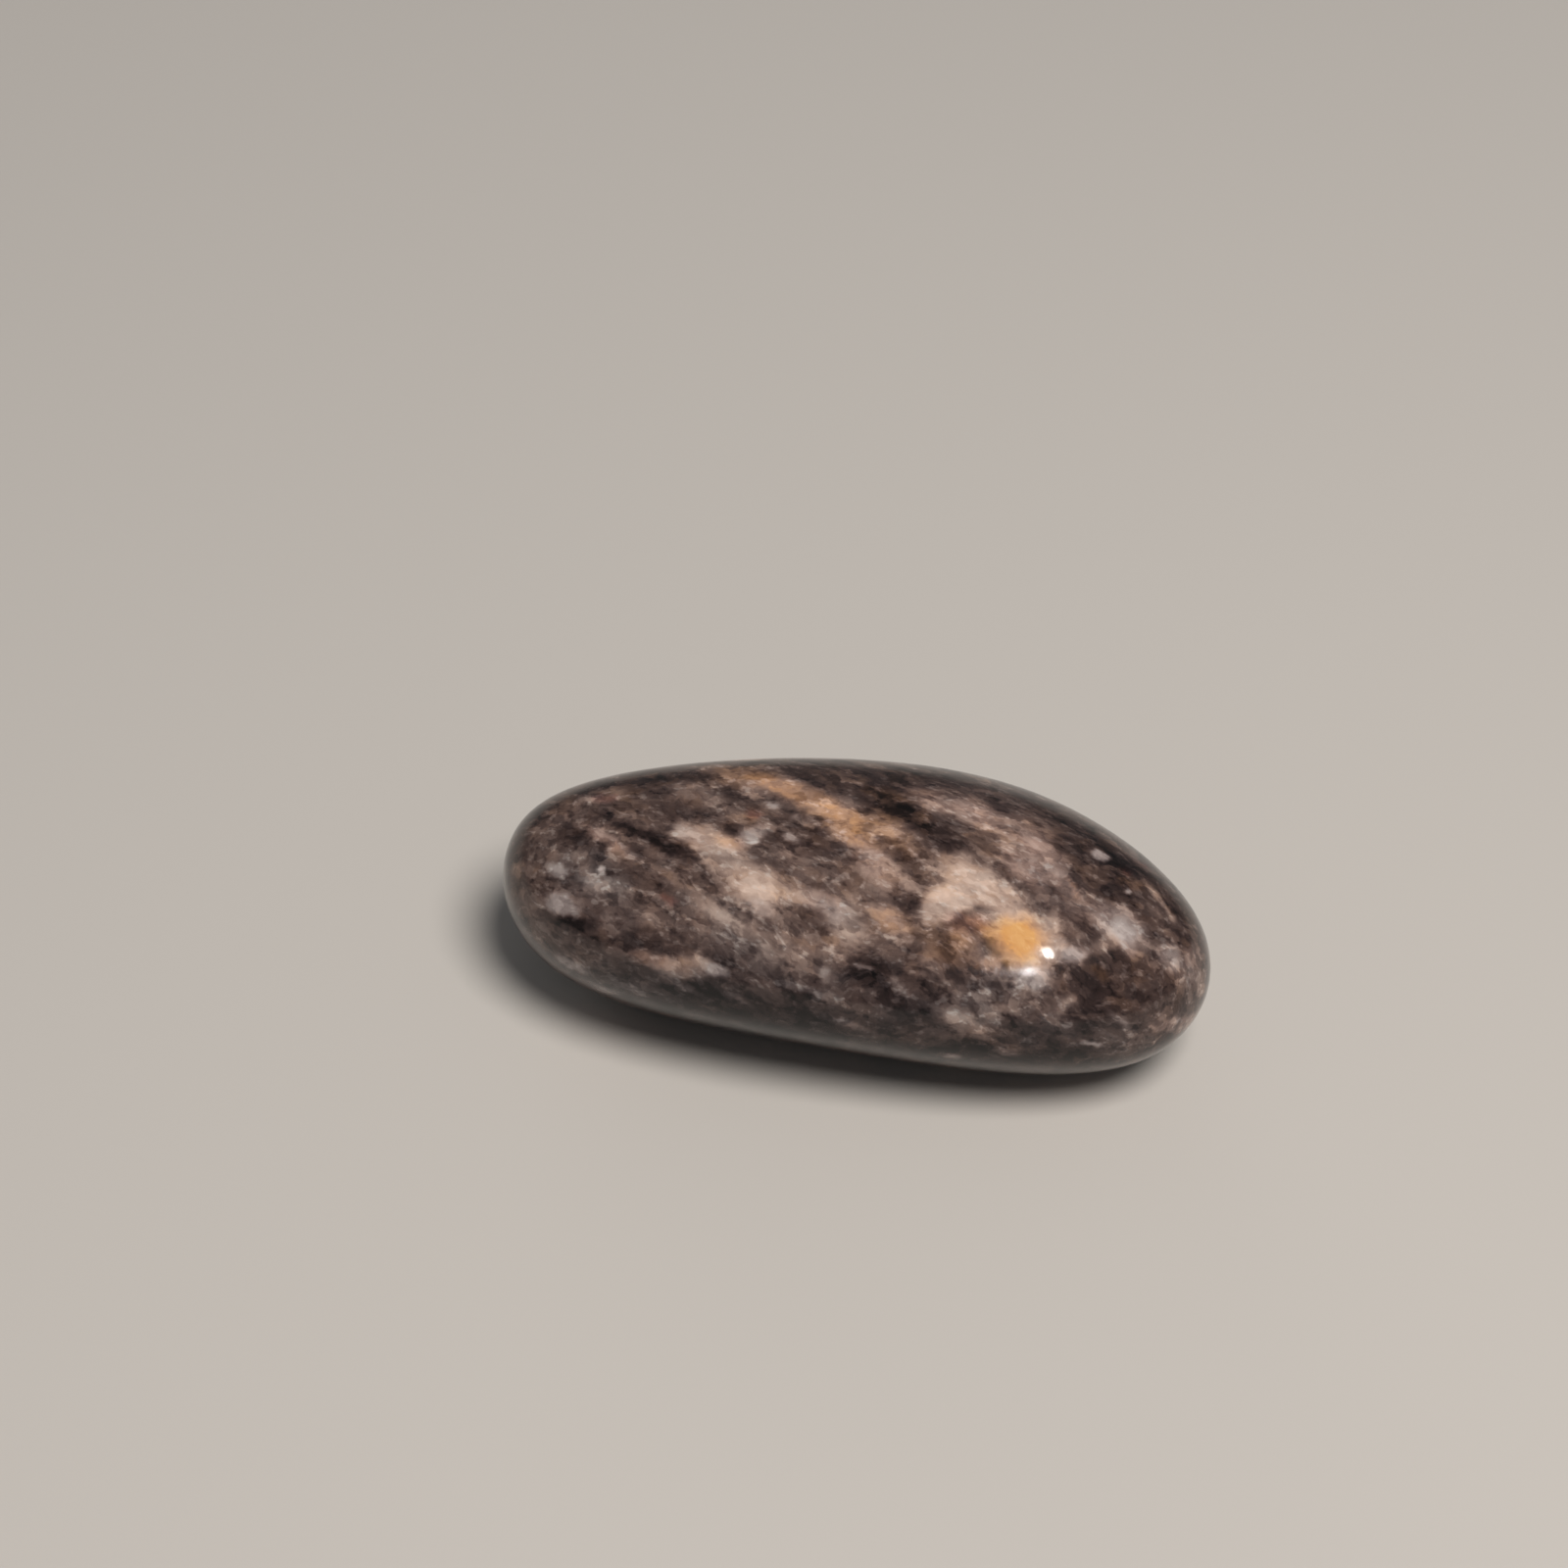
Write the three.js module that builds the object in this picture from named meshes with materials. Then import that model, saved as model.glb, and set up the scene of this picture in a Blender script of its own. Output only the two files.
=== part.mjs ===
// A tumbled, polished granite pebble: one solid stone that lies on a small worn flat.
// Millimetres, +Z up. +X runs along the stone, its front faces -Y, and the origin is
// under the middle of its box, on the surface it lies on.
import * as THREE from "three";
import { mergeVertices } from "three/addons/utils/BufferGeometryUtils.js";

// Driving dimensions: the box that the stone fills.
const LENGTH = 32; // along X
const WIDTH = 15.5; // along Y
const HEIGHT = 11.4; // along Z

// The broad flats that the rough block kept while its corners were ground away. Each face
// looks along a compass direction (degrees from +X towards +Y) and a rise above the
// horizon (degrees), and lies that far inside the round body (worn, in millimetres).
const WORN_FACES = [
  { name: "right shoulder", compass: 48, rise: 22, worn: 0.55 },
  { name: "back shoulder", compass: 105, rise: 26, worn: 0.9 },
  { name: "back lower flank", compass: 80, rise: -40, worn: 0.3 },
  { name: "front lower flank", compass: 267, rise: -45, worn: 0.8 },
  { name: "front left corner", compass: 225, rise: -20, worn: 0.1 },
  { name: "left end", compass: 180, rise: 8, worn: 0.9 },
  { name: "right end", compass: -8, rise: -6, worn: 0.75 },
];
const EDGE_CRISPNESS = 8; // how sharply a worn face turns into the round body
const BOW = 0.6; // how far the middle of the stone bows towards +Y

// The flat under the stone.
const REST_CUT = 0.8; // how much of the underside is worn away
const REST_ROUNDING = 0.3; // half the height over which its rim is rounded

const SURFACE_DETAIL = 15; // cuts along each edge of the starting icosahedron

const HALF_SIZE = new THREE.Vector3(LENGTH / 2, WIDTH / 2, HEIGHT / 2);

// The outward normal of a face, from its compass direction and rise.
function faceNormal({ compass, rise }) {
  const up = Math.PI / 2 - THREE.MathUtils.degToRad(rise);
  const around = THREE.MathUtils.degToRad(compass);
  return new THREE.Vector3(
    Math.sin(up) * Math.cos(around),
    Math.sin(up) * Math.sin(around),
    Math.cos(up),
  );
}

// Each worn face as a plane: its normal, and its distance from the stone's middle. An
// ellipsoid reaches |normal * half sizes| along a normal, and the face lies inside that.
const FACE_PLANES = WORN_FACES.map((face) => {
  const normal = faceNormal(face);
  const reach = normal.clone().multiply(HALF_SIZE).length();
  return { normal, distance: reach - face.worn };
});

// The distance from the middle to the worn surface along a unit direction: the nearest of
// the ellipsoid and the face planes, blended so that no edge is left between them.
function wornRadius(direction) {
  const nearness = [direction.clone().divide(HALF_SIZE).length()];
  for (const { normal, distance } of FACE_PLANES) {
    nearness.push(Math.max(0, direction.dot(normal)) / distance);
  }
  const blended = nearness.reduce((sum, near) => sum + near ** EDGE_CRISPNESS, 0);
  return blended ** (-1 / EDGE_CRISPNESS);
}

// A height above the rest plane once everything below it is worn flat, with a rounded rim.
function restedHeight(height) {
  if (height <= -REST_ROUNDING) {
    return 0;
  }
  if (height >= REST_ROUNDING) {
    return height;
  }
  return (height + REST_ROUNDING) ** 2 / (4 * REST_ROUNDING);
}

// Moves every point of a geometry by a function that changes the point in place.
function movePoints(geometry, change) {
  const places = geometry.getAttribute("position");
  const point = new THREE.Vector3();
  for (let i = 0; i < places.count; i += 1) {
    change(point.fromBufferAttribute(places, i));
    places.setXYZ(i, point.x, point.y, point.z);
  }
  geometry.computeBoundingBox();
}

// Scales a geometry to fill the driving box and stands it on the origin.
function fillBox(geometry) {
  const { min, max } = geometry.boundingBox;
  const scale = new THREE.Vector3(LENGTH, WIDTH, HEIGHT).divide(max.clone().sub(min));
  const foot = new THREE.Vector3((min.x + max.x) / 2, (min.y + max.y) / 2, min.z);
  movePoints(geometry, (point) => point.sub(foot).multiply(scale));
}

// The pebble's closed surface.
function stoneGeometry() {
  const ball = new THREE.IcosahedronGeometry(1, SURFACE_DETAIL);
  ball.deleteAttribute("normal");
  ball.deleteAttribute("uv");
  const surface = mergeVertices(ball);

  movePoints(surface, (point) => {
    const direction = point.multiply(HALF_SIZE).normalize();
    point.copy(direction).multiplyScalar(wornRadius(direction));
    point.y += BOW * (1 - (point.x / HALF_SIZE.x) ** 2);
  });

  const restLevel = surface.boundingBox.min.z + REST_CUT;
  movePoints(surface, (point) => {
    point.z = restedHeight(point.z - restLevel);
  });

  fillBox(surface);
  surface.computeVertexNormals();
  return surface;
}

const granite = new THREE.MeshStandardMaterial({
  color: 0x5f4f49,
  roughness: 0.25,
  metalness: 0,
});

const stone = new THREE.Mesh(stoneGeometry(), granite);
stone.name = "stone";

const pebble = new THREE.Group();
pebble.add(stone);

export default pebble;
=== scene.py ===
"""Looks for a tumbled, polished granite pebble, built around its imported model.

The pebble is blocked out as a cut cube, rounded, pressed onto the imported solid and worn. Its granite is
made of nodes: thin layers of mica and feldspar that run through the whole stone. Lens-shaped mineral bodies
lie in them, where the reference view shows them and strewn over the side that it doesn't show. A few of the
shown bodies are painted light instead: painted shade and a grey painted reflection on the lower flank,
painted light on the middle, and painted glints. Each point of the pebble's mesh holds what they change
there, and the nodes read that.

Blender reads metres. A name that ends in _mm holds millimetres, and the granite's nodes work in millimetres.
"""

import logging
import math
import random
from dataclasses import dataclass
from enum import Enum

import bmesh
import bpy
import numpy as np
from mathutils import Color, Matrix, Vector, noise


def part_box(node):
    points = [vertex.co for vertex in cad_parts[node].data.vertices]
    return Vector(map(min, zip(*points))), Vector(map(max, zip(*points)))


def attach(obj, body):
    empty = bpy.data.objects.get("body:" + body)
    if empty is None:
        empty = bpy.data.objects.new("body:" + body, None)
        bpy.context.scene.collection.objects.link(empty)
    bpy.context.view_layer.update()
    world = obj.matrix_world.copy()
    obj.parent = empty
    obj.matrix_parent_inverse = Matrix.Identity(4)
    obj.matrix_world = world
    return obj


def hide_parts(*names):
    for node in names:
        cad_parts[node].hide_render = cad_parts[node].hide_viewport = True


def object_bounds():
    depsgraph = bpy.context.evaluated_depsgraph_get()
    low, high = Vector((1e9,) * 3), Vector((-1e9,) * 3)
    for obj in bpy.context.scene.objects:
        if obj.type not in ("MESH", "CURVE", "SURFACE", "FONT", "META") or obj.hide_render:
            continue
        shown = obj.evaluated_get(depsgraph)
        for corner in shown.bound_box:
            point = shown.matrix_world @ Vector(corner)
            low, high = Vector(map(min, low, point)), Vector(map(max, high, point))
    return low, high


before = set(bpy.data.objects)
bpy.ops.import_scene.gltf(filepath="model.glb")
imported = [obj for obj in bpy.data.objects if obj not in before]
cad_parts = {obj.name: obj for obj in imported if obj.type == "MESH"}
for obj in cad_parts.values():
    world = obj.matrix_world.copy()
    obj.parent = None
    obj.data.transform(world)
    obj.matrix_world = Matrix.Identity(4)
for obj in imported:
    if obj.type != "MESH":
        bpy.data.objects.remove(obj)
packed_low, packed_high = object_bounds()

log = logging.getLogger("pebble")

MM = 0.001  # a millimetre in metres
DISPLAY_WHITE = 255  # the highest level of a display colour
NOISE_MIDDLE = 0.5  # the value that every noise lies around
GRAIN_RUN = (0.948, -0.318, 0.0)  # the direction in which the minerals are drawn out

# The Mix node's sockets for colours, which share their names with others.
MIX_SHARE = 0
MIX_FIRST = 6
MIX_SECOND = 7
MIX_RESULT = 2

# The inputs of the Noise Texture node and the Map Range node, in the order that they are filled in.
NOISE_INPUTS = ("Vector", "Scale", "Detail", "Roughness")
RANGE_INPUTS = ("Value", "From Min", "From Max", "To Min", "To Max")

Pixel = tuple[float, float]
Limits = tuple[float, float]
Triple = tuple[float, float, float]
Colour = tuple[float, float, float, float]
Stops = tuple[tuple[float, Colour], ...]
Socket = bpy.types.NodeSocket
Feed = Socket | float | tuple


def display_colour(red: int, green: int, blue: int) -> Colour:
    """Turns an 8-bit display colour into the linear, opaque colour that shaders read."""
    shares = Color((red, green, blue)) / DISPLAY_WHITE
    return (*shares.from_srgb_to_scene_linear(), 1.0)


@dataclass(frozen=True)
class ReferenceView:
    """The reference view: where its camera stands, and which ray each of its pixels looks along.

    Attributes:
        azimuth_deg: how far the camera stands round from the pebble's front, towards +X.
        elevation_deg: how far it looks down.
        distance_mm: from the camera to the point that it aims at.
        aim_right_mm: how far that point lies right of the pebble's middle in the picture.
        aim_up_mm: how far it lies above the pebble's middle in the picture.
        lens_mm: focal length.
        sensor_mm: width of the sensor.
        near_mm: how near to the camera things still show.
        frame_px: width and height of the picture.
    """

    azimuth_deg: float = 11.6
    elevation_deg: float = 42.0
    distance_mm: float = 193.2
    aim_right_mm: float = -3.12
    aim_up_mm: float = 5.45
    lens_mm: float = 100.0
    sensor_mm: float = 36.0
    near_mm: float = 10.0
    frame_px: int = 1600

    @property
    def back(self) -> Vector:
        """The direction from the aim towards the camera."""
        around = math.radians(self.azimuth_deg)
        rise = math.radians(self.elevation_deg)
        level = math.cos(rise)
        return Vector((math.sin(around) * level, -math.cos(around) * level, math.sin(rise)))

    @property
    def right(self) -> Vector:
        """The picture's right."""
        around = math.radians(self.azimuth_deg)
        return Vector((math.cos(around), math.sin(around), 0))

    @property
    def up(self) -> Vector:
        """The picture's up."""
        return self.back.cross(self.right)

    @property
    def eye(self) -> Vector:
        """Where the camera stands, in metres."""
        middle = (packed_low + packed_high) / 2
        aim = middle + (self.right * self.aim_right_mm + self.up * self.aim_up_mm) * MM
        return aim + self.back * self.distance_mm * MM

    def ray(self, pixel: Pixel) -> Vector:
        """Finds the direction that a pixel looks along.

        Args:
            pixel: the pixel's column and row.

        Returns:
            The direction from the eye, as a unit vector.
        """
        half = self.frame_px / 2
        pitch = self.sensor_mm / self.lens_mm / self.frame_px
        across = self.right * (pixel[0] - half) * pitch
        upward = self.up * (half - pixel[1]) * pitch
        return (across + upward - self.back).normalized()

    def build(self) -> None:
        """Makes the camera and gives it to the scene."""
        data = bpy.data.cameras.new("reference_camera")
        data.lens = self.lens_mm
        data.sensor_width = self.sensor_mm
        data.clip_start = self.near_mm * MM
        camera = bpy.data.objects.new("reference_camera", data)
        bpy.context.scene.collection.objects.link(camera)
        turn = Matrix((self.right, self.up, self.back)).transposed()
        camera.matrix_world = Matrix.LocRotScale(self.eye, turn, None)
        bpy.context.scene.camera = camera


class Mineral(Enum):
    """What a mineral body does to the layered rock around it: tone, warmth, blush and amber."""

    MICA = (-0.40, 0.0, 0.0, 0.0)
    CREAM = (0.50, 0.0, 0.0, 0.0)
    BLUSH = (0.46, -0.15, 0.25, 0.0)
    TAN = (0.40, 0.6, 0.15, 0.0)
    OCHRE = (0.06, 0.8, 0.0, 0.0)
    RUST = (0.0, 0.2, 1.0, 0.0)
    QUARTZ = (0.55, -0.95, 0.2, 0.0)
    ASH = (0.0, -0.6, 0.0, 0.0)
    AMBER = (0.0, 0.0, 0.0, 1.0)


MICA, CREAM, BLUSH, TAN, OCHRE, RUST, QUARTZ, ASH, AMBER = Mineral


# Some mineral bodies hold painted shade, painted light and painted glints instead of a mineral; their rows
# say which.
@dataclass(frozen=True)
class MineralBody:
    """A lens of one mineral, set where the reference view shows it.

    Attributes:
        name: what it is and where it lies.
        mineral: its mineral.
        start: the pixel of one tip.
        end: the pixel of the other tip.
        width: how wide it looks there, in pixels.
        strength: the share of the mineral's full change.
    """

    name: str
    mineral: Mineral
    start: Pixel
    end: Pixel
    width: float
    strength: float = 1.0


# One body in each row, with its values in the order that its class gives. Most are minerals; the rows marked
# below paint shade, light and glints.
BODY_ROWS: tuple[tuple, ...] = (
    ("tan band, far end", TAN, (716, 780), (808, 808), 26, 0.6),
    ("tan band, middle", TAN, (766, 788), (872, 834), 28),
    ("tan band, near end", TAN, (846, 825), (934, 868), 44, 0.68),
    ("tan band, lower edge", TAN, (832, 838), (884, 862), 20, 0.45),
    ("tan band, pink tail", BLUSH, (864, 854), (922, 912), 30, 0.45),
    ("black layer beside the tan band", MICA, (850, 794), (978, 860), 26, 0.4),
    ("black layer, heart", MICA, (874, 802), (952, 848), 18, 0.1),
    ("brown tint of the black layer", OCHRE, (866, 800), (940, 836), 28, 0.55),
    ("black layer, near end", MICA, (922, 836), (976, 862), 18, 0.35),
    ("dark edge under the tan band", MICA, (800, 826), (846, 846), 13, 0.45),
    ("pink band, far end", BLUSH, (918, 802), (1014, 838), 28, 0.5),
    ("pink band, middle", BLUSH, (980, 814), (1074, 864), 39, 0.45),
    ("pink band, near end", BLUSH, (1046, 848), (1092, 906), 32, 0.66),
    ("pink band, left edge", BLUSH, (1018, 864), (1066, 904), 26, 0.75),
    ("dark strip under the pink band", MICA, (976, 872), (1050, 928), 14, 0.2),
    ("pink band, tan edge", TAN, (1090, 892), (1100, 920), 6, 0.6),
    ("black shoulder, far part", MICA, (1072, 830), (1150, 892), 40, 0.5),
    ("black shoulder, near part", MICA, (1110, 866), (1222, 940), 50, 0.25),
    # Partly a white grain, partly a painted glint.
    ("white speck, shoulder", QUARTZ, (1112, 868), (1134, 877), 11, 1.5),
    ("red speck, shoulder", RUST, (1141, 884), (1156, 892), 10),
    ("red fleck at the edge", RUST, (1160, 880), (1173, 885), 6),
    ("ochre patch, shoulder", OCHRE, (1134, 897), (1168, 906), 12, 0.8),
    ("white dot, shoulder", QUARTZ, (1148, 907), (1157, 912), 7, 1.2),
    ("thin pale streak", CREAM, (1166, 896), (1202, 940), 7, 0.8),
    ("cream patch, far tip", CREAM, (689, 841), (744, 865), 28, 1.4),
    ("cream patch, white tip", QUARTZ, (688, 844), (726, 862), 18, 0.35),
    ("cream patch, middle", CREAM, (706, 856), (796, 908), 33, 0.85),
    ("cream patch, near end", CREAM, (742, 890), (840, 920), 36, 0.62),
    ("cream patch, lower edge", CREAM, (738, 902), (784, 930), 24, 0.6),
    ("haze beside the cream patch", CREAM, (796, 876), (850, 900), 26, 0.25),
    ("cream patch, white spur", QUARTZ, (752, 862), (786, 842), 20, 0.75),
    ("cream patch, ochre stain", TAN, (728, 850), (758, 866), 16, 0.6),
    ("mauve end of the cream patch", BLUSH, (822, 911), (868, 940), 26, 0.55),
    ("white tip under the cream", QUARTZ, (764, 916), (788, 937), 18, 0.5),
    ("dark centre, far part", MICA, (782, 822), (818, 866), 22, 0.15),
    ("thin dark line", MICA, (704, 830), (752, 830), 5, 0.25),
    ("bright fleck, centre", QUARTZ, (798, 849), (816, 861), 9, 0.8),
    ("bright fleck, far", QUARTZ, (780, 819), (794, 824), 8, 0.8),
    ("bright fleck, middle", QUARTZ, (806, 832), (818, 838), 7, 0.5),
    ("pink fleck", RUST, (762, 828), (777, 834), 10, 0.7),
    ("dark diagonal, far end", MICA, (610, 832), (690, 864), 16, 0.6),
    ("dark diagonal, middle", MICA, (652, 846), (722, 888), 15, 0.65),
    ("dark diagonal, near end", MICA, (722, 908), (756, 944), 10, 0.2),
    ("beige left edge", TAN, (538, 848), (602, 814), 20, 0.3),
    ("beige top edge", CREAM, (594, 816), (648, 805), 16, 0.45),
    ("salmon fleck at the edge", RUST, (604, 812), (628, 817), 12, 0.6),
    ("beige top", CREAM, (678, 797), (742, 823), 27, 0.6),
    ("dark top", MICA, (628, 800), (694, 826), 18, 0.3),
    ("dark streak, top", MICA, (646, 822), (678, 850), 16, 0.4),
    ("dark line at the top edge", MICA, (650, 795), (722, 795), 8, 0.3),
    ("mauve streak, left", BLUSH, (592, 839), (650, 876), 12, 0.7),
    ("haze, left", CREAM, (594, 864), (636, 874), 14, 0.2),
    ("dark blot, left", MICA, (562, 845), (594, 853), 16, 0.35),
    # Partly a white grain, partly a painted glint.
    ("white spot, left", QUARTZ, (556, 886), (582, 890), 14, 0.85),
    ("grey spot, left", QUARTZ, (588, 886), (613, 906), 18, 0.25),
    ("pink spot, left", QUARTZ, (554, 917), (592, 931), 24),
    ("mauve patch, left", BLUSH, (556, 902), (646, 946), 44, 0.2),
    ("dark ring, left", MICA, (604, 880), (626, 897), 20, 0.25),
    # Partly a pale grain, partly a painted glint.
    ("glint in the dark ring", QUARTZ, (610, 885), (618, 891), 8, 1.2),
    ("black streak, left", MICA, (564, 938), (610, 946), 14, 0.5),
    ("salmon fleck", RUST, (675, 913), (691, 923), 9, 0.7),
    ("pale streak, far end", CREAM, (696, 904), (742, 942), 22, 0.45),
    ("pale streak, middle", CREAM, (722, 926), (786, 964), 26, 0.5),
    ("dark strip, left", MICA, (638, 949), (707, 958), 16, 0.45),
    ("dark strip, middle", MICA, (698, 960), (772, 986), 22, 0.4),
    ("tan spot, lower left", TAN, (642, 974), (684, 985), 18, 0.8),
    ("tan patch, lower left", CREAM, (670, 994), (724, 982), 30),
    ("tan patch, warm middle", OCHRE, (676, 990), (708, 982), 18, 0.4),
    # Painted glints: the next two bodies paint small highlights of the lower left edge as pale flecks.
    ("pale glint, lower left", QUARTZ, (719, 987), (742, 993), 13, 0.8),
    ("pale edge, lower left", QUARTZ, (564, 976), (600, 992), 11),
    # Painted reflection: the next two bodies grey the lower flank, as a dull reflection of the dark below it
    # would.
    ("grey flank", ASH, (560, 985), (980, 1072), 70, 0.7),
    ("grey flank, right", ASH, (930, 1014), (1170, 1060), 66, 0.7),
    ("grey left end", ASH, (556, 866), (644, 908), 56),
    # Painted shade: the next two bodies darken the foot, where the stone turns away from the light.
    ("dark foot, left", MICA, (600, 1006), (900, 1076), 60, 0.45),
    ("dark foot, right", MICA, (820, 1058), (1180, 1080), 60, 0.45),
    # Painted light: the next two broad bodies lighten the middle of the shown side, where the light falls
    # most fully.
    ("light middle, left", CREAM, (560, 880), (860, 980), 110, 0.25),
    ("light middle, right", CREAM, (800, 850), (1130, 950), 110, 0.2),
    ("grey lens, flank", QUARTZ, (610, 1001), (702, 1023), 20, 0.35),
    ("grey fleck, right flank", QUARTZ, (1128, 1030), (1156, 1052), 10, 0.45),
    # Painted glints: the next three bodies paint small highlights along the foot as pale flecks.
    ("pale fleck, foot, right", QUARTZ, (1100, 1062), (1128, 1068), 6, 0.9),
    ("grey fleck, foot, right", QUARTZ, (1002, 1068), (1044, 1077), 7, 0.6),
    ("low pale fleck, foot", QUARTZ, (960, 1075), (984, 1080), 7),
    ("grey grain, foot", QUARTZ, (906, 996), (930, 1018), 12, 0.35),
    ("low grey fleck, foot", QUARTZ, (824, 1032), (886, 1052), 10, 0.45),
    ("grey fleck, foot, middle", QUARTZ, (794, 1002), (846, 1018), 10, 0.4),
    ("grey fleck, foot, left", QUARTZ, (734, 1010), (772, 1030), 10, 0.45),
    ("pale fleck, foot, left", QUARTZ, (684, 1004), (714, 1012), 7, 0.6),
    ("pale fleck, foot, far left", QUARTZ, (596, 1004), (630, 1014), 7, 0.7),
    ("warm brown patch", TAN, (890, 926), (932, 952), 28, 0.6),
    ("tan cloud, middle", CREAM, (834, 912), (922, 968), 54, 0.5),
    ("tan cloud, near end", CREAM, (846, 938), (874, 984), 28, 0.5),
    ("tan cloud, grey veil", ASH, (832, 918), (882, 952), 34, 0.9),
    ("tan cloud, upper edge", CREAM, (860, 880), (908, 916), 30, 0.35),
    ("brown knot", MICA, (908, 910), (930, 930), 12, 0.3),
    ("dark lens before the pink patch", MICA, (896, 854), (926, 882), 15, 0.65),
    ("brown edge of the pink patch", MICA, (926, 876), (950, 902), 22, 0.5),
    ("dark sliver before the pink patch", MICA, (910, 898), (938, 926), 10, 0.6),
    ("brown streak under the cream", MICA, (778, 938), (798, 958), 14, 0.35),
    ("dark eye, flank", MICA, (858, 978), (910, 1000), 36, 0.6),
    ("glint in the dark eye", QUARTZ, (872, 984), (896, 992), 8, 0.8),
    ("pale grain, flank", QUARTZ, (834, 986), (846, 1000), 12, 0.4),
    ("pink patch, far end", CREAM, (960, 912), (1017, 893), 40, 0.95),
    ("pink patch, upper shoulder", CREAM, (954, 878), (996, 882), 24, 0.6),
    ("pink patch, left leg", CREAM, (942, 937), (986, 907), 36, 2.1),
    ("beige foot of the pink patch", CREAM, (942, 950), (958, 1000), 24, 0.4),
    ("pink patch, right leg", CREAM, (990, 890), (1050, 934), 34, 0.85),
    ("pink patch, between the legs", CREAM, (980, 914), (1014, 924), 15, 0.45),
    ("cream dome", CREAM, (1016, 952), (1082, 974), 57, 1.5),
    ("cream crest of the dome", CREAM, (1008, 928), (1064, 942), 16, 0.7),
    ("amber spot", AMBER, (1011, 952), (1068, 965), 51, 0.8),
    ("amber spot, heart", AMBER, (1022, 946), (1060, 966), 38, 0.15),
    ("amber spot, brown edge", OCHRE, (1000, 944), (1020, 968), 18, 0.9),
    ("amber spot, dark edge", MICA, (1000, 942), (1010, 964), 10, 0.4),
    ("cream rim of the dome", CREAM, (1062, 938), (1084, 972), 24, 0.8),
    ("brown hollow", TAN, (962, 952), (1016, 948), 34, 0.8),
    ("brown hollow, dark heart", MICA, (964, 936), (1012, 946), 20, 0.5),
    ("brown hollow, red tint", RUST, (962, 938), (1012, 944), 20, 0.35),
    ("tan veil under the hollow", TAN, (936, 974), (1006, 976), 28, 0.4),
    ("ochre patch under the amber", TAN, (983, 994), (1027, 979), 20, 0.5),
    ("dark fleck under the amber", MICA, (1020, 980), (1030, 987), 9, 0.8),
    ("lilac patch under the amber", QUARTZ, (1032, 992), (1076, 1004), 27, 0.85),
    ("mauve hollow", BLUSH, (1056, 896), (1124, 944), 40, 0.28),
    ("pale grain beside the amber", QUARTZ, (1080, 980), (1110, 968), 22),
    ("white patch, far part", QUARTZ, (1114, 924), (1172, 960), 36, 0.75),
    ("white patch, near part", QUARTZ, (1142, 942), (1160, 980), 20, 0.4),
    ("white patch, left part", CREAM, (1112, 972), (1147, 952), 18, 0.5),
    ("haze behind the white patch", CREAM, (1164, 924), (1192, 950), 18, 0.3),
    ("beige grain, right", QUARTZ, (1182, 970), (1208, 984), 24, 0.75),
    ("pale right edge", QUARTZ, (1224, 962), (1214, 1004), 20, 0.4),
    ("pink lower right edge", BLUSH, (1188, 1053), (1223, 1036), 16, 0.6),
    ("pale grain, lower right", CREAM, (1076, 1034), (1100, 1016), 12, 0.4),
    ("tan patch, lower right", CREAM, (940, 1018), (1100, 1036), 52, 0.6),
    ("pale lens, lower right", CREAM, (952, 1030), (1014, 1060), 24, 0.85),
    ("pale fleck, lower right", CREAM, (1012, 1027), (1044, 1035), 14, 0.5),
    ("dark line under the amber", MICA, (986, 1004), (1042, 1008), 10, 0.5),
    ("brown flank, right", MICA, (1092, 984), (1184, 1014), 44, 0.3),
    ("ochre streak, right flank", OCHRE, (1114, 984), (1132, 1002), 12, 0.6),
)
MINERAL_BODIES: tuple[MineralBody, ...] = tuple(MineralBody(*row) for row in BODY_ROWS)


@dataclass(frozen=True)
class Mottle:
    """A noise that varies through the rock.

    Attributes:
        per_mm: how often it repeats in a millimetre.
        detail: how many finer layers it has.
        roughness: how strong those layers are.
        amount: how much it changes the tone or the warmth, or how far it pushes a place, in millimetres.
    """

    per_mm: float
    detail: float
    roughness: float
    amount: float


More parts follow.
